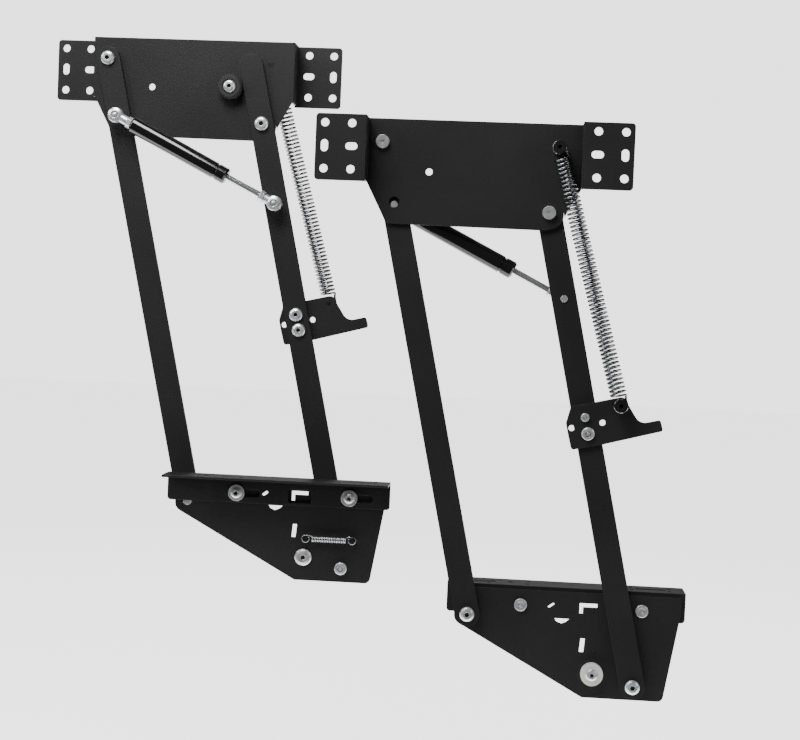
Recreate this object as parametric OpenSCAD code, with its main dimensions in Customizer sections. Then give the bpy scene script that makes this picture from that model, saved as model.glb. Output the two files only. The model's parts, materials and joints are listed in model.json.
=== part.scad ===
// Pair of lift units for a cupboard shelf: left unit seen from inside, right unit from its wall side.
// A unit is drawn with X to the rear of the cupboard, depth d measured from the wall, Z up.
// Each unit is two parallel arms between a wall bracket and a lower plate that carries the shelf rail.

/* [Linkage] */
// Distance between the two top pivots, in X
pivot_dx = 142; // [120:1:170]
// Drop from the front top pivot to the rear one
pivot_dz = 54.5; // [40:0.5:70]
// Pivot to pivot length of both arms
arm_len = 406; // [300:1:480]
// Lean of the arms from the vertical at rest
arm_lean = 12.5; // [5:0.5:20]
// Width of the arms
arm_w = 21; // [16:0.5:26]
// Thickness of the arms
arm_t = 4; // [3:0.5:5]
// Tail of the rear arm above its pivot
tail_len = 53; // [35:1:60]

/* [Wall bracket] */
// Web ahead of the front top pivot
web_front = 14; // [12:0.5:24]
// Web behind the rear top pivot
web_rear = 27; // [24:0.5:36]
// Depth of the hat section, wall to inner face
hat_depth = 26; // [25:0.5:34]
// Sheet thickness of bracket and plates
sheet = 2; // [1.5:0.5:3]
// Width of each screw tab
tab_w = 40; // [36:1:48]
// Height of the screw tabs
tab_h = 55; // [50:1:62]
// Screw hole diameter in the tabs
tab_hole = 7; // [5:0.5:8]
// Screw hole pitch across a tab
tab_px = 22.5; // [20:0.5:25]
// Screw hole pitch up a tab
tab_pz = 38; // [32:1:40]

/* [Spring and strut] */
// Wire diameter of the lift spring
lift_wire = 2; // [1.2:0.1:2.1]
// Coil diameter of the lift spring, outside
lift_od = 14.4; // [12:0.2:15]
// Coils drawn on the lift spring
lift_coils = 30; // [20:1:30]
// Wire diameter of the small spring
small_wire = 0.9; // [0.7:0.1:1.1]
// Coils drawn on the small spring
small_coils = 11; // [8:1:11]
// Outside diameter of the strut tube
tube_od = 15; // [12:0.5:17]
// Diameter of the strut rod
rod_d = 6; // [5:0.5:8]
// Length of the strut tube
tube_len = 98; // [88:1:99]
// Ball to shoulder of the strut's sockets
socket_neck = 15; // [13:0.5:16]

/* [Shelf rail] */
// Length of the shelf rail
rail_len = 202; // [180:1:230]
// Height of the rail's upright leg
rail_leg = 25; // [22:1:28]
// Width of the rail's shelf flange
rail_flange = 30; // [24:1:36]
// Travel of the rail on its slots
rail_travel = 18; // [10:1:20]

/* [Pair] */
// Distance from left to right unit, in X
pair_dx = 259; // [0:1:320]
// Drop of the right unit
pair_dz = 75; // [0:1:160]
// Distance between the two wall planes, so that the units swing past each other
pair_dy = 138; // [136:1:320]

/* [Hidden] */
$fn = 48;
fit = 0.08;
gap = 0.3;
web_w = web_front + pivot_dx + web_rear;
web_in = hat_depth;
arm_y = hat_depth + 1;
arm_in = arm_y + arm_t;
bolt_foot = 1.6;
foot_clear = 0.4;
plate_y = arm_in + foot_clear + bolt_foot;
plate_in = plate_y + sheet;
leg_y = plate_in + gap;
leg_in = leg_y + sheet;
pivot_r = 4;
front = [-web_w / 2 + web_front, 7];
rear = front + [pivot_dx, -pivot_dz];
down = [sin(arm_lean), -cos(arm_lean)];
side = [cos(arm_lean), sin(arm_lean)];
low_front = front + arm_len * down;
low_rear = rear + arm_len * down;
hole_x = web_w / 2 + 21.25;
web_top = 26.5;
web_foot = web_top - tab_h;
strut_y = arm_in + 11;
ball_front = front + 53.5 * down;
ball_rear = rear + 73 * down;
post_up = rear + [6, 53.5];
post_low = rear + 169 * down + 30.5 * side;
spring_y = 11.5;
bumper_r = 11;
bumper_at = rear + [-7.07, 31.9] - (bumper_r + arm_w / 2 + 0.4) / cos(arm_lean) * [1, 0];
rail_at = low_rear + [-160, 80];
rail_bolt_z = rail_at[1] - rail_leg / 2 - 3.5;
rail_bolts_x = [rail_at[0] + 63, rail_at[0] + rail_len - 36.6];
disc_at = low_rear + [-34.5, 8.5];
small_at = low_rear + [-32.5, 26];
small_len = 42;
sight_at = low_rear + [-71, 64.5];
sight_run = [3.2, 2.4];

// Left unit: wall behind, inner side to the front. Right unit: turned over, lower, nearer and to the right.
module unit_a() { mirror([0, 1, 0]) children(); }
module unit_b() { translate([pair_dx, -pair_dy, -pair_dz]) children(); }

// Outline with rounded corners from [x, z, radius] corners, wound anticlockwise.
function corner(a, b, c) =
  let (u = (a - b) / norm(a - b), v = (c - b) / norm(c - b)) [u, v];
function round_points(pts) = [for (i = [0 : len(pts) - 1])
  let (n = len(pts),
       b = [pts[i][0], pts[i][1]],
       a = [pts[(i + n - 1) % n][0], pts[(i + n - 1) % n][1]],
       c = [pts[(i + 1) % n][0], pts[(i + 1) % n][1]],
       r = pts[i][2],
       k = corner(a, b, c),
       half = acos(max(-1, min(1, k[0] * k[1]))) / 2,
       t = r / tan(half),
       p = b + t * k[0], q = b + t * k[1],
       m = (k[0] + k[1]) / norm(k[0] + k[1]),
       o = b + r / sin(half) * m,
       s = atan2(p[1] - o[1], p[0] - o[0]),
       e = atan2(q[1] - o[1], q[0] - o[0]),
       w = e - s > 180 ? e - s - 360 : e - s < -180 ? e - s + 360 : e - s)
  each r == 0 ? [b] : [for (j = [0 : 6]) o + r * [cos(s + w * j / 6), sin(s + w * j / 6)]]];

// A flat piece between depths y0 and y1.
module flat(pts, y0, y1) {
  translate([0, y1, 0]) rotate([90, 0, 0]) linear_extrude(y1 - y0) polygon(round_points(pts));
}
// A round bar or bore along the depth.
module bar(p, r, y0, y1) {
  translate([p[0], y1, p[1]]) rotate([90, 0, 0]) cylinder(r = r, h = y1 - y0);
}
// A slot cut along the depth, of the given run.
module slot(p, r, run, y0, y1) {
  a = run / norm(run);
  s = [-a[1], a[0]];
  bar(p - run / 2, r, y0, y1);
  bar(p + run / 2, r, y0, y1);
  flat([for (k = [[-1, -1], [1, -1], [1, 1], [-1, 1]])
    [each p + k[0] * run / 2 + k[1] * r * s, 0]], y0, y1);
}
// Domed head standing on depth y0 towards side s, with a socket of the given width.
module head(p, r, h, s, y0, socket) {
  translate([p[0], y0, p[1]]) rotate([s > 0 ? -90 : 90, 0, 0]) difference() {
    rotate_extrude() polygon([[0, 0], [r, 0], [r, h * 0.45], [r * 0.86, h * 0.8],
      [r * 0.62, h], [0, h]]);
    translate([0, 0, h * 0.35]) cylinder(d = socket, h = h, $fn = 6);
  }
}

// Wall bracket
module wall_tab(s) {
  x0 = s * web_w / 2;
  x1 = s * (web_w / 2 + tab_w);
  lo = min(x0, x1);
  hi = max(x0, x1);
  z0 = web_foot;
  difference() {
    flat(s > 0
      ? [[lo - sheet, z0, 0], [hi, z0, 3], [hi, web_top, 3], [lo - sheet, web_top, 0]]
      : [[lo, z0, 3], [hi + sheet, z0, 0], [hi + sheet, web_top, 0], [lo, web_top, 3]], 0, sheet);
    for (i = [-1, 1], k = [-1, 1])
      bar([s * hole_x + i * tab_px / 2, k * tab_pz / 2], tab_hole / 2, -1, 3);
    slot([s * (hole_x - tab_px / 2), 0], 3.1, [4, 0], -1, 3);
    slot([s * (hole_x + tab_px / 2), 0], 3.1, [0, 4], -1, 3);
  }
}
module upper_bracket() {
  hw = web_w / 2;
  color("#26272a") difference() {
    union() {
      flat([[-hw, web_foot + 4.5, 4], [front[0] + 5.5, rear[1] - 14, 5],
        [rear[0] - 3, rear[1] - 15, 8], [rear[0] + 15, rear[1] - 10.5, 12],
        [hw - 14, rear[1] - 3, 4], [hw, web_foot + 3.5, 4], [hw, web_top, 0],
        [-hw, web_top, 0]], web_in - sheet, web_in);
      for (s = [-1, 1]) {
        wall_tab(s);
        x0 = s > 0 ? hw - sheet : -hw;
        translate([x0, 0, web_foot + 1.5]) cube([sheet, web_in, tab_h - 1.5]);
      }
    }
    for (p = [front, rear]) bar(p, pivot_r + fit, -1, web_in + 1);
    bar(bumper_at, 2.5, web_in - sheet + 0.6, web_in + 1);
    bar(post_up, 2.5, web_in - 3, web_in + 1);
    bar(front + [40, -24], 3, web_in - 3, web_in + 1);
    bar(ball_front + [0, 2], 4.5, web_in - 3, web_in + 1);
  }
}
module bumper() {
  color("#151515") translate([bumper_at[0], web_in, bumper_at[1]]) rotate([-90, 0, 0])
    rotate_extrude() polygon([[2.5, 0], [bumper_r, 0], [bumper_r, 9], [bumper_r - 1.5, 11],
      [6.4, 11], [6.4, 9.5], [2.5, 9.5]]);
}
module bumper_screw() {
  color("#c9cbce") {
    bar(bumper_at, 2.5, web_in - sheet + 0.6, web_in + 9.5);
    head(bumper_at, 5.6, 3.6, 1, web_in + 9.5, 4);
  }
}
module spring_post(p, seat, y_top) {
  color("#191919") difference() {
    translate([p[0], 0, p[1]]) rotate([-90, 0, 0]) rotate_extrude()
      polygon([[0, spring_y - 4], [5.4, spring_y - 4], [5.4, spring_y - 2.4], [3.4, spring_y - 1.4],
        [3.4, spring_y + 1.4], [5.4, spring_y + 2.4], [5.4, seat], [2.5, seat],
        [2.5, y_top], [0, y_top]]);
    translate([p[0], spring_y - 5, p[1]]) rotate([-90, 0, 0]) cylinder(d = 4, h = 3, $fn = 6);
  }
}
module spring_post_upper() { spring_post(post_up, web_in - sheet, web_in); }
module pivot_bolt(p, y0, y1) {
  bar(p, pivot_r, y0, y1);
  head(p, 6.2, 3.8, 1, y1, 4.4);
}
module top_bolts() {
  color("#cfd1d4") for (p = [front, rear]) {
    pivot_bolt(p, web_in - sheet - 2.6, arm_in + gap);
    bar(p, 6, web_in, arm_y - gap);
  }
}
module top_nuts() {
  color("#c4c6c9") for (p = [front, rear]) difference() {
    bar(p, 5.6, web_in - sheet - 3.4, web_in - sheet);
    bar(p, pivot_r, web_in - sheet - 2.6, web_in);
    translate([p[0], web_in - sheet - 4, p[1]]) rotate([-90, 0, 0]) cylinder(d = 3.4, h = 2, $fn = 6);
  }
}

// Arms
module arm_blank(p, tail) {
  a = p - tail * down;
  b = p + arm_len * down;
  bar(a, arm_w / 2, arm_y, arm_in);
  bar(b, arm_w / 2, arm_y, arm_in);
  flat([[each a - arm_w / 2 * side, 0], [each b - arm_w / 2 * side, 0],
    [each b + arm_w / 2 * side, 0], [each a + arm_w / 2 * side, 0]], arm_y, arm_in);
}
module arm_bores(p) {
  bar(p, pivot_r + fit, arm_y - 1, arm_in + 1);
  bar(p + arm_len * down, pivot_r + fit, arm_y - 1, arm_in + 1);
}
module front_arm() {
  color("#222326") difference() {
    arm_blank(front, 0);
    arm_bores(front);
    bar(ball_front, 3, arm_y - 1, arm_in + 1);
  }
}
module rear_arm() {
  color("#222326") difference() {
    arm_blank(rear, tail_len);
    arm_bores(rear);
    bar(ball_rear, 3, arm_y - 1, arm_in + 1);
    for (t = [174, 188]) bar(rear + t * down, 3, arm_y - 1, arm_in + 1);
  }
}
function on_rear(t, w) = rear + t * down + w * side;
module spring_bracket() {
  pts = [[163, -10, 0], [176, -16.5, 3], [186, -16.5, 3], [199, -16, 2.5], [199, 11.7, 0],
    [196.5, 62, 2], [187, 61.5, 2], [187.5, 44, 9], [170, 37.5, 0.8], [162.5, 37.5, 6],
    [163, 11.5, 0]];
  color("#242528") difference() {
    flat([for (k = pts) [each on_rear(k[0], k[1]), k[2]]], arm_y - 3, arm_y);
    for (t = [174, 188]) bar(on_rear(t, 0), 3, arm_y - 4, arm_y + 1);
    for (w = [-12.6, 13.6]) bar(on_rear(181, w), 2.6, arm_y - 4, arm_y + 1);
    bar(post_low, 2.5, arm_y - 4, arm_y + 1);
  }
}
module bracket_bolts() {
  color("#cfd1d4") for (t = [174, 188]) {
    bar(on_rear(t, 0), 3, arm_y - 4.2, arm_in);
    head(on_rear(t, 0), 6, 3.2, 1, arm_in, 4);
    bar(on_rear(t, 0), t == 174 ? 3.6 : 5.4, arm_y - 5, arm_y - 3);
  }
}
module spring_post_lower() { spring_post(post_low, arm_y - 3, arm_y); }

// Strut: the ends are drawn along +X from their ball and turned to the strut line
strut_v = ball_rear - ball_front;
strut_len = norm(strut_v);
strut_a = atan2(strut_v[1], strut_v[0]);
tube_from = 17;
rod_in = 46;
module strut_at(p) {
  translate([p[0], strut_y, p[1]]) rotate([0, -strut_a, 0]) children();
}
module strut_stud_front() {
  color("#c9cbce") {
    bar(ball_front, 3, web_in + gap, strut_y - 3);
    bar(ball_front, 4.5, arm_in, arm_in + 1.6);
    translate([ball_front[0], strut_y, ball_front[1]]) sphere(r = 4);
  }
}
module strut_rivet_rear() {
  color("#c9cbce") {
    bar(ball_rear, 3, web_in + gap, arm_in + 1.6);
    bar(ball_rear, 4.6, arm_in, arm_in + 1.6);
  }
}
module strut_socket(neck) {
  rotate([90, 0, 0]) cylinder(r = 6.8, h = 9.4, center = true);
  rotate([0, 90, 0]) cylinder(r = 4.2, h = neck);
}
module strut_end_front() {
  color("#c4c6c9") strut_at(ball_front) difference() {
    strut_socket(tube_from);
    sphere(r = 4.1);
    translate([0, -2, 0]) rotate([90, 0, 0]) cylinder(r = 3.5, h = 4);
  }
}
module strut_tube() {
  color("#111112") strut_at(ball_front) rotate([0, 90, 0]) rotate_extrude()
    polygon([[0, tube_from], [6, tube_from], [tube_od / 2, tube_from + 1.5],
      [tube_od / 2, tube_from + tube_len - 12], [tube_od / 2 - 0.8, tube_from + tube_len - 11.4],
      [tube_od / 2 - 0.8, tube_from + tube_len - 10], [tube_od / 2, tube_from + tube_len - 9.4],
      [tube_od / 2, tube_from + tube_len - 1.5], [tube_od / 2 - 1.5, tube_from + tube_len],
      [rod_d / 2 + fit, tube_from + tube_len], [rod_d / 2 + fit, tube_from + 4],
      [0, tube_from + 4]]);
}
module strut_rod() {
  color("#d4d6d8") strut_at(ball_front) rotate([0, 90, 0])
    translate([0, 0, tube_from + tube_len - rod_in])
      cylinder(d = rod_d, h = strut_len - socket_neck - tube_from - tube_len + rod_in);
}
module strut_end_rear() {
  color("#c4c6c9") {
    strut_at(ball_rear) rotate([0, 180, 0]) strut_socket(socket_neck);
    bar(ball_rear, 3, arm_in + 1.6 + gap, strut_y - 3);
  }
}

// Springs: one unbroken wire, an eye round each post and close coils between.
// eye centre a to eye centre b along +X, eyes of radius er, coils of radius cr
function wire_path(span, er, cr, coils, lead) = concat(
  [for (i = [0 : 9]) let (t = 30 - 30 * i) er * [cos(t), 0, sin(t)]],
  [[er * 0.7 + lead * 0.12, 0, er * 0.98]],
  [for (i = [0 : coils * 8]) let (t = 45 * i)
    [lead + (span - 2 * lead) * i / (coils * 8), cr * sin(t), cr * cos(t)]],
  [[span - er * 0.7 - lead * 0.12, 0, er * 0.98]],
  [for (i = [0 : 9]) let (t = 60 - 30 * i) [span, 0, 0] + er * [cos(t), 0, sin(t)]]);
function ring_axis(path, i) = let (n = len(path),
  d = path[min(n - 1, i + 1)] - path[max(0, i - 1)]) d / norm(d);
// Direction u carried on to a ring whose axis is a, so that the tube does not twist.
function carried(u, a) = let (w = u - (u * a) * a) w / norm(w);
module wire(path, r) {
  n = len(path);
  ups = [for (i = 0, u = carried([0, 1, 0], ring_axis(path, 0)); i < n;
    i = i + 1, u = carried(u, ring_axis(path, min(i, n - 1)))) u];
  rings = [for (i = [0 : n - 1]) let (u = ups[i], v = cross(ring_axis(path, i), u))
    each [for (j = [0 : 5]) path[i] + r * (cos(60 * j) * u + sin(60 * j) * v)]];
  polyhedron(points = rings, faces = concat(
    [[for (j = [5 : -1 : 0]) j]],
    [for (i = [0 : n - 2], j = [0 : 5], k = [0, 1]) let (p = i * 6 + j, q = i * 6 + (j + 1) % 6)
      k == 0 ? [p, q, q + 6] : [p, q + 6, p + 6]],
    [[for (j = [0 : 5]) (n - 1) * 6 + j]]), convexity = 10);
}
lift_v = post_low - post_up;
lift_path = wire_path(norm(lift_v), 5.2, (lift_od - lift_wire) / 2, lift_coils, 11);
small_path = wire_path(small_len, 3.2, 2.6, small_coils, 5.5);
module lift_spring() {
  color("#b9bbbd") translate([post_up[0], spring_y, post_up[1]])
    rotate([0, -atan2(lift_v[1], lift_v[0]), 0]) wire(lift_path, lift_wire / 2);
}
module small_spring() {
  color("#b9bbbd") translate([small_at[0], plate_in + 4.4, small_at[1]])
    wire(small_path, small_wire / 2);
}
function self_gap(path, skip, d) = min([for (i = [0 : len(path) - 1])
  each [for (j = [i + skip : len(path) - 1]) norm(path[i] - path[j])]]) - d;
echo("lift spring self gap", self_gap(lift_path, 7, lift_wire));
echo("small spring self gap", self_gap(small_path, 7, small_wire));

// Lower plate and shelf rail
module lower_plate() {
  q = low_rear;
  f = low_front;
  heel = rail_bolts_x[1] + 33.1;
  color("#242528") difference() {
    flat([[q[0] - 42, q[1] - 12.5, 3], [q[0] + 26, q[1] - 12.5, 5], [heel, rail_bolt_z, 2],
      [heel, rail_at[1] - 3, 2], [f[0] - 12, rail_at[1] - 3, 3], [f[0] - 11, f[1] - 7, 8]],
      plate_y, plate_in);
    for (p = [f, q]) bar(p, pivot_r, plate_y - 1, plate_in + 1);
    bar(disc_at, 4, plate_y - 1, plate_in + 1);
    for (x = rail_bolts_x) bar([x, rail_bolt_z], 3, plate_y - 1, plate_in + 1);
    for (x = [0, small_len]) bar(small_at + [x, 0], 1.5, plate_y - 1, plate_in + 1);
    flat([for (k = [[-47, 59], [-44, 59], [-44, 64.5], [-32, 64.5], [-32, 68], [-47, 68]])
      [q[0] + k[0], q[1] + k[1], 0]], plate_y - 1, plate_in + 1);
    flat([for (k = [[-68, 54], [-66, 51.1], [-62, 49.5], [-58, 51.1], [-55, 54]])
      [q[0] + k[0], q[1] + k[1], 0]], plate_y - 1, plate_in + 1);
    slot(sight_at, 1.2, sight_run, plate_y - 1, plate_in + 1);
    flat([for (k = [[-46, 26], [-42.2, 26], [-41.2, 38], [-45, 38]])
      [q[0] + k[0], q[1] + k[1], 0]], plate_y - 1, plate_in + 1);
  }
}
module low_bolts() {
  color("#cfd1d4") {
    for (p = [low_front, low_rear]) {
      bar(p, pivot_r, arm_y - gap - 0.4, plate_in);
      head(p, 6.2, 3.4, -1, arm_y - gap, 4.4);
      bar(p, 6, arm_in + gap, plate_y);
    }
    bar(low_rear, 5.6, plate_in, plate_in + 3.4);
  }
}
module stop_disc() {
  color("#d9d9d4") difference() {
    bar(disc_at, 9.5, arm_y, plate_y);
    bar(disc_at, 4, arm_y - 1, plate_y + 1);
  }
}
module stop_bolt() {
  color("#cfd1d4") {
    bar(disc_at, 4, arm_y - 1, plate_in);
    head(disc_at, 5.2, 2.6, -1, arm_y, 3.6);
    head(disc_at, 7.6, 3, 1, plate_in, 4.6);
  }
}
module small_posts() {
  color("#1c1c1c") for (x = [0, small_len]) {
    bar(small_at + [x, 0], 1.5, plate_y, plate_in + 6.4);
    bar(small_at + [x, 0], 2.3, plate_in + 5.6, plate_in + 6.6);
    bar(small_at + [x, 0], 2.3, plate_in, plate_in + 2.8);
  }
}
module shelf_rail() {
  x0 = rail_at[0];
  z1 = rail_at[1];
  color("#2a2b2e") difference() {
    union() {
      flat([[x0, z1 - rail_leg, 3], [x0 + rail_len, z1 - rail_leg, 3], [x0 + rail_len, z1, 0],
        [x0, z1, 0]], leg_y, leg_in);
      translate([x0, leg_y, z1 - sheet]) cube([rail_len, rail_flange, sheet]);
    }
    for (x = rail_bolts_x)
      slot([x + rail_travel / 2, rail_bolt_z], 3.3, [rail_travel, 0], leg_y - 1, leg_in + 1);
    slot(sight_at, 1.2, sight_run, leg_y - 1, leg_in + 1);
    translate([low_rear[0] - 50, leg_y - 1, low_rear[1] + 57.5]) cube([21, sheet + 2, 12]);
    for (h = [[38, 19, 1.6], [35.5, 8, 1.6], [54, 15, 2.6], [69.5, 21, 1.6], [68, 8, 1.6],
              [rail_len - 45, 19, 1.6], [rail_len - 45, 8, 1.6], [rail_len - 13, 19, 1.6],
              [rail_len - 13, 8, 1.6]])
      translate([x0 + h[0], leg_y + h[1], z1 - sheet - 1]) cylinder(r = h[2], h = sheet + 2);
    for (x = [17, rail_len - 40]) translate([x0 + x, leg_y + 14, z1 - sheet - 1]) {
      for (d = [0, 23]) translate([d, 0, 0]) cylinder(r = 1.7, h = sheet + 2);
      translate([0, -1.7, 0]) cube([23, 3.4, sheet + 2]);
    }
  }
}
module rail_bolts() {
  color("#cfd1d4") for (x = rail_bolts_x) {
    bar([x, rail_bolt_z], 3, plate_y - bolt_foot, leg_in + gap + 1.5);
    bar([x, rail_bolt_z], 5.4, plate_y - bolt_foot, plate_y);
    head([x, rail_bolt_z], 4.9, 2.6, 1, leg_in + gap + 1.2, 4);
  }
}
module rail_washers() {
  color("#dcdddf") for (x = rail_bolts_x) difference() {
    bar([x, rail_bolt_z], 7.4, leg_in + gap, leg_in + gap + 1.2);
    bar([x, rail_bolt_z], 3, leg_in, leg_in + 3);
  }
}

unit_a() upper_bracket();  // a_upper_bracket
unit_a() bumper();  // a_bumper
unit_a() bumper_screw();  // a_bumper_screw
unit_a() spring_post_upper();  // a_spring_post_upper
unit_a() top_bolts();  // a_top_bolts
unit_a() top_nuts();  // a_top_nuts
unit_a() front_arm();  // a_front_arm
unit_a() strut_stud_front();  // a_strut_stud_front
unit_a() rear_arm();  // a_rear_arm
unit_a() spring_bracket();  // a_spring_bracket
unit_a() bracket_bolts();  // a_bracket_bolts
unit_a() spring_post_lower();  // a_spring_post_lower
unit_a() strut_rivet_rear();  // a_strut_rivet_rear
unit_a() strut_tube();  // a_strut_tube
unit_a() strut_end_front();  // a_strut_end_front
unit_a() strut_rod();  // a_strut_rod
unit_a() strut_end_rear();  // a_strut_end_rear
unit_a() lift_spring();  // a_lift_spring
unit_a() lower_plate();  // a_lower_plate
unit_a() low_bolts();  // a_low_bolts
unit_a() stop_disc();  // a_stop_disc
unit_a() stop_bolt();  // a_stop_bolt
unit_a() small_posts();  // a_small_posts
unit_a() small_spring();  // a_small_spring
unit_a() shelf_rail();  // a_shelf_rail
unit_a() rail_bolts();  // a_rail_bolts
unit_a() rail_washers();  // a_rail_washers
unit_b() upper_bracket();  // b_upper_bracket
unit_b() bumper();  // b_bumper
unit_b() bumper_screw();  // b_bumper_screw
unit_b() spring_post_upper();  // b_spring_post_upper
unit_b() top_bolts();  // b_top_bolts
unit_b() top_nuts();  // b_top_nuts
unit_b() front_arm();  // b_front_arm
unit_b() strut_stud_front();  // b_strut_stud_front
unit_b() rear_arm();  // b_rear_arm
unit_b() spring_bracket();  // b_spring_bracket
unit_b() bracket_bolts();  // b_bracket_bolts
unit_b() spring_post_lower();  // b_spring_post_lower
unit_b() strut_rivet_rear();  // b_strut_rivet_rear
unit_b() strut_tube();  // b_strut_tube
unit_b() strut_end_front();  // b_strut_end_front
unit_b() strut_rod();  // b_strut_rod
unit_b() strut_end_rear();  // b_strut_end_rear
unit_b() lift_spring();  // b_lift_spring
unit_b() lower_plate();  // b_lower_plate
unit_b() low_bolts();  // b_low_bolts
unit_b() stop_disc();  // b_stop_disc
unit_b() stop_bolt();  // b_stop_bolt
unit_b() small_posts();  // b_small_posts
unit_b() small_spring();  // b_small_spring
unit_b() shelf_rail();  // b_shelf_rail
unit_b() rail_bolts();  // b_rail_bolts
unit_b() rail_washers();  // b_rail_washers
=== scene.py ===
import json
import math

import bmesh
import bpy
from mathutils import Matrix, Vector


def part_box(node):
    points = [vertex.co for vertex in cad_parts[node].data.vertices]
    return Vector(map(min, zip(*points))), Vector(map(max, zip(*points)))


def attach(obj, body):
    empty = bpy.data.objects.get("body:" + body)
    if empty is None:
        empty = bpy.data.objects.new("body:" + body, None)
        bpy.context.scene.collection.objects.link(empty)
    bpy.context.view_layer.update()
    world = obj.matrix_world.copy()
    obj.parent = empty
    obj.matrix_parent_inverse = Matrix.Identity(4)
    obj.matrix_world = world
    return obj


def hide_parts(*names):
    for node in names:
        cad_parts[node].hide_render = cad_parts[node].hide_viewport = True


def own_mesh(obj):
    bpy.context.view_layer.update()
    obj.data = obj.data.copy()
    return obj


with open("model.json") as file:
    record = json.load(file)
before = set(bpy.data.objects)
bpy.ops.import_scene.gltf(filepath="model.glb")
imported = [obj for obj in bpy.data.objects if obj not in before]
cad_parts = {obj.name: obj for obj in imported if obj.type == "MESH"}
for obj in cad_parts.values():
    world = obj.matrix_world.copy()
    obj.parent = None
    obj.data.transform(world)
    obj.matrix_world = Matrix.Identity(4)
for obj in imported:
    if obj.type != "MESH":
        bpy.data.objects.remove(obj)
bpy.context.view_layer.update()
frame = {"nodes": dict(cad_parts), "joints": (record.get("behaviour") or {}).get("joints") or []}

# Wall bracket: a hat-section pressing in 2 mm sheet steel with two screw tabs,
# punched before folding and finished in satin black powder coat.


class Value:
    """One number or colour on its way through a material."""

    def __init__(self, made, socket):
        self.made = made
        self.socket = socket

    def maths(self, operation, other, reflected=False):
        first, second = (other, self) if reflected else (self, other)
        return self.made.node("ShaderNodeMath", {"operation": operation}, {0: first, 1: second})

    def __add__(self, other):
        return self.maths("ADD", other)

    def __radd__(self, other):
        return self.maths("ADD", other, True)

    def __sub__(self, other):
        return self.maths("SUBTRACT", other)

    def __rsub__(self, other):
        return self.maths("SUBTRACT", other, True)

    def __mul__(self, other):
        return self.maths("MULTIPLY", other)

    def __rmul__(self, other):
        return self.maths("MULTIPLY", other, True)

    def __pow__(self, other):
        return self.maths("POWER", other)


class Finish:
    """A material with one Principled shader, whose varying inputs are set by name."""

    def __init__(self, name, colour, **shader):
        self.material = bpy.data.materials.new(name)
        self.material.use_nodes = True
        self.tree = self.material.node_tree
        self.shader = self.tree.nodes["Principled BSDF"]
        self.shader.inputs["Base Color"].default_value = (*colour, 1.0)
        for socket, value in shader.items():
            self.shader.inputs[socket.replace("_", " ")].default_value = value
        self.place = self.node("ShaderNodeTexCoord", {}, {}, "Object")

    def node(self, kind, settings, inputs, output=0):
        made = self.tree.nodes.new(kind)
        for name, value in settings.items():
            setattr(made, name, value)
        for name, value in inputs.items():
            if isinstance(value, Value):
                self.tree.links.new(value.socket, made.inputs[name])
            else:
                made.inputs[name].default_value = value
        return Value(self, made.outputs[output])

    def feed(self, name, value):
        self.tree.links.new(value.socket, self.shader.inputs[name])

    def noise(self, scale, detail=2.0):
        """A cloudy pattern from 0 to 1, with this many clouds to a metre."""
        inputs = {"Vector": self.place, "Scale": scale, "Detail": detail}
        return self.node("ShaderNodeTexNoise", {}, inputs)

    def between(self, share, low, high):
        """A colour mixed from two others, by a share from 0 to 1."""

        def whole(colour):
            return colour if isinstance(colour, Value) else (*colour, 1.0)

        inputs = {0: share, 6: whole(low), 7: whole(high)}
        return self.node("ShaderNodeMix", {"data_type": "RGBA"}, inputs, 2)

    def open_sky(self, reach):
        """1 on an open face, down to 0 in a recess or fold of the piece itself; a share for
        painting shade into a colour.
        """
        settings = {"samples": 8, "only_local": True}
        return self.node("ShaderNodeAmbientOcclusion", settings, {"Distance": reach}, 1)

    def bump(self, height, depth, soft_edge):
        """Grain of a height in metres, on edges that shine as if rounded."""
        edge = self.node("ShaderNodeBevel", {"samples": 4}, {"Radius": soft_edge})
        inputs = {"Distance": depth, "Height": height, "Normal": edge}
        self.feed("Normal", self.node("ShaderNodeBump", {}, inputs))


UNITS = ("a", "b")


def dress(finish, *nodes):
    """Put a finish on these solids of both units."""
    for unit in UNITS:
        for node in nodes:
            piece = frame["nodes"][f"{unit}_{node}"]
            piece.data.materials.clear()
            piece.data.materials.append(finish.material)


# The darkest colour of the painted shade in the coat's folds and recesses, and how far that
# shade reaches.
COAT_PAINTED_SHADE = (0.001, 0.001, 0.001)
PAINTED_SHADE_REACH = 0.012
PEEL_DEPTH = 0.00012
SHEET_EDGE = 0.0007
COAT_DARK = (0.012, 0.012, 0.0125)
COAT_LIGHT = (0.019, 0.019, 0.0195)
powder = Finish("satin black powder coat", COAT_DARK, Specular_IOR_Level=0.3)
cloud = powder.noise(14.0, 3.0)
peel = powder.noise(900.0, 1.0)
coat = powder.between(cloud, COAT_DARK, COAT_LIGHT)
# The base colour is darkened in the folds and recesses of each piece: painted shade.
powder.feed("Base Color", powder.between(powder.open_sky(PAINTED_SHADE_REACH), COAT_PAINTED_SHADE, coat))
powder.feed("Roughness", 0.36 + 0.12 * cloud)
powder.bump(peel, PEEL_DEPTH, SHEET_EDGE)
dress(powder, "upper_bracket")

# Pivot bolts: button-head socket screws with a turned shoulder, and the round
# nuts they run into on the wall side. Bright zinc plate on steel.
# A dark colour for random handling marks and for the painted shade in sockets and recesses.
SOCKET_SHADE_AND_GRIME = (0.03, 0.03, 0.032)
ZINC_LIGHT = (0.86, 0.87, 0.89)
RECESS_SHADE_REACH = 0.003
ZINC_GRAIN = 0.00003
HEAD_EDGE = 0.0005
zinc = Finish("bright zinc plate", ZINC_LIGHT, Metallic=0.82)
handling = zinc.noise(160.0, 4.0)
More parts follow.
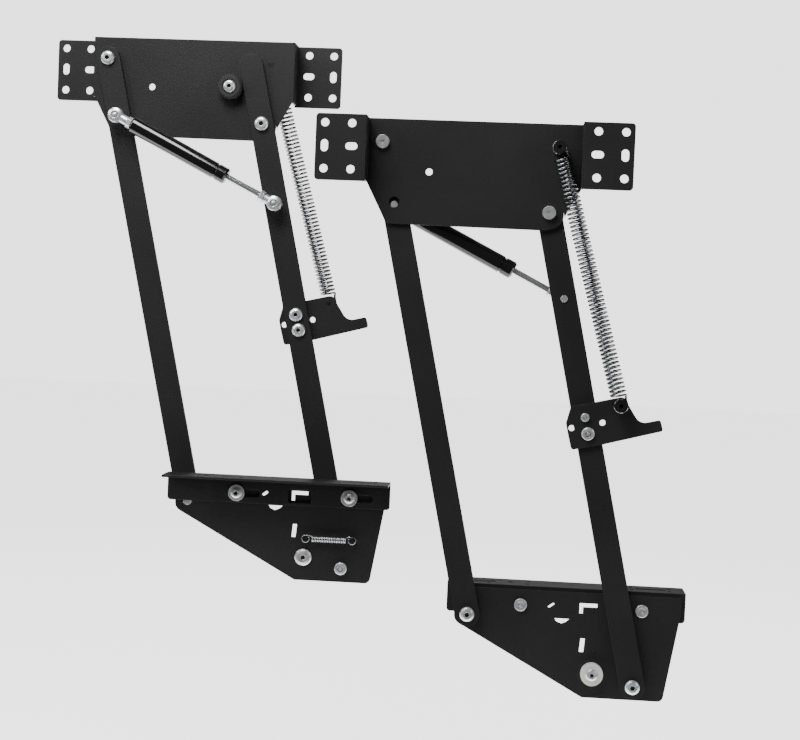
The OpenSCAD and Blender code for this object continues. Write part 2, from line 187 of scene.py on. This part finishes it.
# Random handling marks, together with painted shade in the hex sockets and other recesses of
# each piece, darken the zinc's base colour.
handling_and_recess_shade = (0.5 + 0.9 * handling) * zinc.open_sky(RECESS_SHADE_REACH) ** 3.2
zinc.feed("Base Color", zinc.between(handling_and_recess_shade, SOCKET_SHADE_AND_GRIME, ZINC_LIGHT))
zinc.feed("Roughness", 0.2 + 0.22 * handling)
zinc.bump(zinc.noise(1500.0, 1.0), ZINC_GRAIN, HEAD_EDGE)
dress(zinc, "top_bolts", "top_nuts")

# Stop for the rear arm: a moulded rubber buffer held to the web by a zinc
# screw in its recess.
RUBBER_CLEAN = (0.008, 0.008, 0.008)
RUBBER_DUSTY = (0.03, 0.03, 0.029)
RUBBER_GRAIN = 0.0002
RUBBER_EDGE = 0.0008
rubber = Finish("matt black rubber", RUBBER_CLEAN, Roughness=0.72)
dust = rubber.noise(60.0, 4.0)
rubber.feed("Base Color", rubber.between(dust ** 3.0, RUBBER_CLEAN, RUBBER_DUSTY))
rubber.bump(dust, RUBBER_GRAIN, RUBBER_EDGE)
dress(rubber, "bumper")
dress(zinc, "bumper_screw")

# Arms: flat bar, 21 by 4 mm, with full-round ends. The rear arm runs on past
# its pivot as a tail that meets the rubber stop.
dress(powder, "front_arm", "rear_arm")

# Spring bracket: a blanked plate with an ear and a finger, on the wall face of
# the rear arm, held by two socket-head bolts.
dress(powder, "spring_bracket")
dress(zinc, "bracket_bolts")

# Spring posts: blackened steel bobbins with a waist for the spring's eye, one
# riveted to the web and one to the spring bracket.
BLACKENED = (0.012, 0.012, 0.013)
WEAR_DEPTH = 0.00004
POST_EDGE = 0.0004
black_steel = Finish("blackened steel", BLACKENED, Metallic=0.5)
wear = black_steel.noise(220.0, 3.0)
black_steel.feed("Roughness", 0.3 + 0.25 * wear)
black_steel.bump(wear, WEAR_DEPTH, POST_EDGE)
dress(black_steel, "spring_post_upper", "spring_post_lower", "small_posts")

# Lift spring: extension spring in bright wire, stretched at rest so that its
# coils stand apart, with an eye round each post. It turns about the upper post
# and shortens as the unit lifts.
LIFT_COILS = 58
LIFT_WIRE = 0.002
LIFT_COIL_R = 0.0062
LIFT_EYE_R = 0.0052
LIFT_LEAD = 0.0084
WIRE_SIDES = 8
STEPS_A_TURN = 16
EYE_POINTS = 19
EYE_STEP_DEG = -15
HOOK_OUT = 0.7
HOOK_UP = 0.98
HOOK_LEAD = 0.12
SMOOTH_ALL_DEG = 180.0

# Near-black and bright colours for the wire's painted reflections and painted highlights.
WIRE_PAINTED_DARK_REFLECTION = (0.03, 0.031, 0.033)
WIRE_PAINTED_HIGHLIGHT = (0.56, 0.57, 0.59)
wire_finish = Finish("bright spring wire", WIRE_PAINTED_HIGHLIGHT, Metallic=1.0)
draw_marks_and_glints = wire_finish.noise(420.0, 3.0)
# The base colour swings in patches between them, as painted dark reflections and painted
# highlights; the same noise also varies the roughness.
shine = 2.2 * (draw_marks_and_glints - 0.34)
wire_finish.feed("Base Color", wire_finish.between(shine, WIRE_PAINTED_DARK_REFLECTION, WIRE_PAINTED_HIGHLIGHT))
wire_finish.feed("Roughness", 0.12 + 0.16 * draw_marks_and_glints)


def spring_line(span, eye_r, coil_r, turns, lead):
    """Points along the wire, from eye to eye along +X, the eyes in the XZ plane."""

    def eye(centre_x, start_deg):
        angles = [math.radians(start_deg + EYE_STEP_DEG * i) for i in range(EYE_POINTS)]
        return [Vector((centre_x + eye_r * math.cos(t), 0, eye_r * math.sin(t))) for t in angles]

    hook_x = eye_r * HOOK_OUT + lead * HOOK_LEAD
    hook_z = eye_r * HOOK_UP
    line = eye(0.0, 30)
    line.append(Vector((hook_x, 0, hook_z)))
    steps = turns * STEPS_A_TURN
    for i in range(steps + 1):
        t = 2 * math.pi * i / STEPS_A_TURN
        x = lead + (span - 2 * lead) * i / steps
        line.append(Vector((x, coil_r * math.sin(t), coil_r * math.cos(t))))
    line.append(Vector((span - hook_x, 0, hook_z)))
    return line + eye(span, 60)


def finished(bm, name, sharp_deg=35.0):
    """The mesh as a linked object, smooth but for its sharp edges."""
    bmesh.ops.recalc_face_normals(bm, faces=bm.faces)
    for face in bm.faces:
        face.smooth = True
    for edge in bm.edges:
        shared = len(edge.link_faces) == 2
        edge.smooth = shared and edge.calc_face_angle() < math.radians(sharp_deg)
    mesh = bpy.data.meshes.new(name)
    bm.to_mesh(mesh)
    bm.free()
    piece = bpy.data.objects.new(name, mesh)
    bpy.context.scene.collection.objects.link(piece)
    return piece


def wind(name, line, wire_r, place):
    """A round wire along the points: a ring at each, bridged to the next."""
    bm = bmesh.new()
    loops = []
    side = Vector((0, 1, 0))
    for i, point in enumerate(line):
        ahead = (line[min(i + 1, len(line) - 1)] - line[max(i - 1, 0)]).normalized()
        side = (side - side.dot(ahead) * ahead).normalized()
        facing = Matrix((side, ahead.cross(side), ahead)).transposed().to_4x4()
        made = bmesh.ops.create_circle(
            bm,
            cap_ends=i in (0, len(line) - 1),
            radius=wire_r,
            segments=WIRE_SIDES,
            matrix=Matrix.Translation(point) @ facing,
        )
        rim = {e for v in made["verts"] for e in v.link_edges}
        loops.append([e for e in rim if e.other_vert(e.verts[0]) in made["verts"]])
    for near, far in zip(loops, loops[1:]):
        bmesh.ops.bridge_loops(bm, edges=near + far)
    bmesh.ops.transform(bm, matrix=place, verts=bm.verts)
    return finished(bm, name, SMOOTH_ALL_DEG)


def middle(node):
    """The middle of a solid's box."""
    low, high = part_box(node)
    return (Vector(low) + Vector(high)) / 2


for unit in UNITS:
    upper = middle(f"{unit}_spring_post_upper")
    lower = middle(f"{unit}_spring_post_lower")
    upper.y = lower.y = middle(f"{unit}_lift_spring").y
    along = (lower - upper).normalized()
    turn = math.atan2(along.z, along.x)
    place = Matrix.Translation(upper) @ Matrix.Rotation(-turn, 4, "Y")
    if unit == "a":
        place = place @ Matrix.Scale(-1, 4, (0, 1, 0))
    reach = (lower - upper).length
    line = spring_line(reach, LIFT_EYE_R, LIFT_COIL_R, LIFT_COILS, LIFT_LEAD)
    spring = wind(f"{unit}_lift_spring_wire", line, LIFT_WIRE / 2, place)
    spring.data.materials.append(wire_finish.material)
    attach(spring, f"{unit}_lift_spring")
    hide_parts(f"{unit}_lift_spring")
    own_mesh(spring)

# Gas strut: a gloss black lacquered tube with a rolled groove near its mouth, a
# chromed rod, and zinc ball sockets on studs riveted through the arms.
LACQUER = (0.004, 0.004, 0.0045)
lacquer = Finish("gloss black lacquer", LACQUER, Coat_Weight=0.6, Specular_IOR_Level=0.5)
smear = lacquer.noise(30.0, 3.0)
lacquer.feed("Roughness", 0.12 + 0.08 * smear)
dress(lacquer, "strut_tube")
CHROME = (0.8, 0.81, 0.83)
chrome = Finish("hard chrome", CHROME, Metallic=0.9)
chrome.feed("Roughness", 0.06 + 0.08 * chrome.noise(400.0, 2.0))
dress(chrome, "strut_rod")
dress(zinc, "strut_stud_front", "strut_rivet_rear")

# Strut sockets: turned zinc cups with a domed cap and a wire clip in a groove,
# each with a stem and a lock nut that run on to the tube or the rod.
CUP_R = 0.0068
CUP_LINE = (
    (0.0, -0.0047), (0.0056, -0.0047), (0.0066, -0.0040), (0.0068, -0.0028),
    (0.0068, 0.0006), (0.0062, 0.0011), (0.0062, 0.0019), (0.0067, 0.0024),
    (0.0063, 0.0036), (0.0050, 0.0044), (0.0034, 0.0047), (0.0030, 0.0041),
    (0.0022, 0.0040), (0.0012, 0.0045), (0.0, 0.0047),
)
STEM_FROM = CUP_R * 0.8
STEM_R = 0.0042
STUD_R = 0.003
NUT_R = 0.0052
NUT_T = 0.004
NUT_GAP = 0.0006
FRONT_REACH = 0.017
REAR_REACH = 0.015
joints = {joint["name"]: joint for joint in frame["joints"]}


def rod(bm, start, along, length, radius, sides):
    """A closed round or hexagonal bar from start along a direction."""
    aim = Vector(along).to_track_quat("Z", "Y").to_matrix().to_4x4()
    place = Matrix.Translation(Vector(start) + Vector(along) * length / 2) @ aim
    bmesh.ops.create_cone(
        bm,
        cap_ends=True,
        segments=sides,
        radius1=radius,
        radius2=radius,
        depth=length,
        matrix=place,
    )


def turned(bm, profile, place, steps=40):
    """A closed body spun about its own Z axis from a line of radius and height."""
    rim = [bm.verts.new((radius, 0, height)) for radius, height in profile]
    edges = [bm.edges.new(pair) for pair in zip(rim, rim[1:])]
    bmesh.ops.spin(
        bm,
        geom=rim + edges,
        axis=(0, 0, 1),
        cent=(0, 0, 0),
        angle=math.tau,
        steps=steps,
        use_merge=True,
    )
    verts = {v for face in bm.faces for v in face.verts}
    bmesh.ops.remove_doubles(bm, verts=list(verts), dist=1e-6)
    bmesh.ops.transform(bm, matrix=place, verts=bm.verts)


for unit in UNITS:
    inward = -1 if unit == "a" else 1
    front_ball = Vector(joints[f"{unit}_strut_turn"]["pos_m"])
    rear_ball = middle(f"{unit}_strut_rivet_rear")
    rear_ball.y = front_ball.y
    along = (rear_ball - front_ball).normalized()
    face_in = Matrix.Rotation(math.radians(-90 * inward), 4, "X")
    for end, ball, way, reach, body in (
        ("front", front_ball, along, FRONT_REACH, "strut_tube"),
        ("rear", rear_ball, -along, REAR_REACH, "strut_rod"),
    ):
        bm = bmesh.new()
        turned(bm, CUP_LINE, Matrix.Translation(ball) @ face_in)
        rod(bm, ball + way * STEM_FROM, way, reach - STEM_FROM, STEM_R, 24)
        rod(bm, ball + way * (reach - NUT_T - NUT_GAP), way, NUT_T, NUT_R, 6)
        if end == "rear":
            low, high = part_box(f"{unit}_strut_end_rear")
            foot = (high if unit == "a" else low).y
            rod(bm, (ball.x, foot, ball.z), (0, inward, 0), abs(ball.y - foot), STUD_R, 20)
        socket = finished(bm, f"{unit}_strut_socket_{end}")
        socket.data.materials.append(zinc.material)
        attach(socket, f"{unit}_{body}")
        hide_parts(f"{unit}_strut_end_{end}")

# Lower plate: blanked sheet with punched windows, carried by shoulder bolts at
# the foot of each arm, with a pale nylon stop disc under a zinc bolt.
dress(powder, "lower_plate")
dress(zinc, "low_bolts", "stop_bolt")
NYLON_DULL = (0.58, 0.58, 0.55)
NYLON_PALE = (0.72, 0.72, 0.69)
nylon = Finish("pale nylon", NYLON_PALE, Subsurface_Weight=0.05)
scuff = nylon.noise(300.0, 4.0)
nylon.feed("Base Color", nylon.between(scuff, NYLON_DULL, NYLON_PALE))
nylon.feed("Roughness", 0.38 + 0.2 * scuff)
dress(nylon, "stop_disc")

# Bolt ends: where a bolt runs through to the far side its threaded end stands in
# a round zinc nut or foot with a chamfered rim.
LOW_HEAD_R = 0.0062
LOW_FOOT_R = 0.0056
LOW_RISE = 0.0007
BRACKET_HEAD_R = 0.006
BRACKET_UPPER_R = 0.0036
BRACKET_LOWER_R = 0.0054
BRACKET_RISE = 0.0006
RAIL_NUT_R = 0.0054
RAIL_RISE = 0.00015
# The end face from its middle outwards, in shares of the nut's radius and rise.
END_LINE = (
    (0.0, 0.75), (0.10, 0.7), (0.32, 0.7), (0.36, 0.0), (0.42, 0.0),
    (0.46, 1.0), (0.72, 1.0), (0.90, 0.6), (0.99, -0.4), (0.99, -1.0), (0.0, -1.0),
)


def pair_in(node, head_r):
    """Axes of the two bolts of one node: the upper left one, then the lower right one."""
    low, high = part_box(node)
    return ((low.x + head_r, high.z - head_r), (high.x - head_r, low.z + head_r))


def bolt_end(unit, name, at, side, depth, radius, rise, body):
    """A turned end face at a depth, looking to the wall (-1) or inwards (1)."""
    inward = -1 if unit == "a" else 1
    face = Matrix.Rotation(math.radians(-90 * inward * side), 4, "X")
    bm = bmesh.new()
    line = [(radius * r, rise * h) for r, h in END_LINE]
    turned(bm, line, Matrix.Translation((at[0], depth, at[1])) @ face)
    end = finished(bm, f"{unit}_{name}_end")
    end.data.materials.append(zinc.material)
    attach(end, f"{unit}_{body}")


for unit in UNITS:
    wall_side = 1 if unit == "a" else 0
    low_pair = pair_in(f"{unit}_low_bolts", LOW_HEAD_R)
    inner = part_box(f"{unit}_low_bolts")[1 - wall_side].y
    bolt_end(unit, "low_nut", low_pair[1], 1, inner, LOW_FOOT_R, LOW_RISE, "lower_plate")
    bracket_pair = pair_in(f"{unit}_bracket_bolts", BRACKET_HEAD_R)
    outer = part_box(f"{unit}_bracket_bolts")[wall_side].y
    for name, at, radius in (
        ("bracket_upper_nut", bracket_pair[0], BRACKET_UPPER_R),
        ("bracket_nut", bracket_pair[1], BRACKET_LOWER_R),
    ):
        bolt_end(unit, name, at, -1, outer, radius, BRACKET_RISE, "rear_arm")
    low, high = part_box(f"{unit}_rail_bolts")
    outer = (low, high)[wall_side].y
    for name, x in (("rail_front", low.x + RAIL_NUT_R), ("rail_rear", high.x - RAIL_NUT_R)):
        at = (x, (low.z + high.z) / 2)
        bolt_end(unit, name, at, -1, outer, RAIL_NUT_R, RAIL_RISE, "lower_plate")

# Small spring: a light extension spring between two pins on the plate's inner
# face, in fine wire with a bright tinned finish.
SMALL_COILS = 20
SMALL_WIRE = 0.0009
SMALL_COIL_R = 0.0026
SMALL_EYE_R = 0.0032
SMALL_LEAD = 0.0055
TIN_DARK = (0.3, 0.31, 0.32)
TIN_LIGHT = (0.85, 0.86, 0.88)
tinned = Finish("bright tinned wire", TIN_LIGHT, Metallic=1.0)
fine_marks = tinned.noise(700.0, 2.0)
tinned.feed("Base Color", tinned.between(fine_marks, TIN_DARK, TIN_LIGHT))
tinned.feed("Roughness", 0.2 + 0.2 * fine_marks)
for unit in UNITS:
    low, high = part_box(f"{unit}_small_posts")
    pin_r = (high.z - low.z) / 2
    depth = middle(f"{unit}_small_spring").y
    place = Matrix.Translation((low.x + pin_r, depth, (low.z + high.z) / 2))
    reach = high.x - low.x - 2 * pin_r
    line = spring_line(reach, SMALL_EYE_R, SMALL_COIL_R, SMALL_COILS, SMALL_LEAD)
    spring = wind(f"{unit}_small_spring_wire", line, SMALL_WIRE / 2, place)
    spring.data.materials.append(tinned.material)
    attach(spring, f"{unit}_lower_plate")
    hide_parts(f"{unit}_small_spring")

# Shelf rail: folded angle with screw holes for the shelf, clamped to the plate
# through slots by two bolts with plain washers.
dress(powder, "shelf_rail")
dress(zinc, "rail_bolts", "rail_washers")

# Studio: a wide white floor in a dim room with a white horizon, soft boxes at
# both sides, behind and above, and the camera as it stood for the photograph.
FLOOR_Z = -0.72
FLOOR_FRONT = -0.35
STAGE = 8.0
ROOM_GLOW = 0.09
HORIZON_GLOW = 2.6
PAPER_GLOW = 2.35
PAPER = (0.86, 0.86, 0.86)
paper = Finish("white paper", PAPER, Roughness=0.9, Emission_Strength=PAPER_GLOW)
bm = bmesh.new()
lie = Matrix.Translation((0.13, FLOOR_FRONT + STAGE / 2, FLOOR_Z))
bmesh.ops.create_grid(bm, x_segments=1, y_segments=1, size=STAGE / 2, matrix=lie)
floor = finished(bm, "floor")
floor.data.materials.append(paper.material)


def lamp(name, power, size, spot, target):
    """A soft square light that looks at a point."""
    light = bpy.data.lights.new(name, "AREA")
    light.energy = power
    light.size = size
    holder = bpy.data.objects.new(name, light)
    holder.location = spot
    aim = Vector(target) - Vector(spot)
    holder.rotation_euler = aim.to_track_quat("-Z", "Y").to_euler()
    bpy.context.scene.collection.objects.link(holder)


MIDDLE = (0.126, -0.07, -0.26)
LEFT_WEB = (0.06, 0.0, 0.0)
lamp("left soft box", 14.0, 0.8, (-1.3, -1.0, 0.6), MIDDLE)
lamp("right soft box", 8.0, 0.8, (1.7, -1.0, 0.3), MIDDLE)
lamp("back soft box", 10.0, 1.2, (0.1, 1.2, 0.9), MIDDLE)
lamp("top strip", 14.0, 0.5, (-0.1, -0.6, 0.65), LEFT_WEB)
world = bpy.data.worlds.new("white room")
world.use_nodes = True
sky = world.node_tree.nodes["Background"]
sky.inputs["Color"].default_value = (1.0, 1.0, 1.0, 1.0)
path = world.node_tree.nodes.new("ShaderNodeLightPath")
glow = world.node_tree.nodes.new("ShaderNodeMapRange")
glow.inputs["To Min"].default_value = ROOM_GLOW
glow.inputs["To Max"].default_value = HORIZON_GLOW
world.node_tree.links.new(path.outputs["Is Camera Ray"], glow.inputs["Value"])
world.node_tree.links.new(glow.outputs["Result"], sky.inputs["Strength"])
bpy.context.scene.world = world

EYE = Vector((0.299, -1.4617, -0.2049))
LENS = 72.0
PITCH, ROLL, YAW = -2.23, -2.47, 4.08
tilt = Vector((math.radians(PITCH), math.radians(ROLL), math.radians(YAW)))
swing = Matrix.Rotation(tilt.length, 4, tilt.normalized())
level = Matrix.Rotation(math.radians(90), 4, "X")
view = bpy.data.cameras.new("photo view")
view.lens = LENS
view.sensor_fit = "HORIZONTAL"
camera = bpy.data.objects.new("photo view", view)
camera.matrix_world = Matrix.Translation(EYE) @ swing @ level
bpy.context.scene.collection.objects.link(camera)
bpy.context.scene.camera = camera
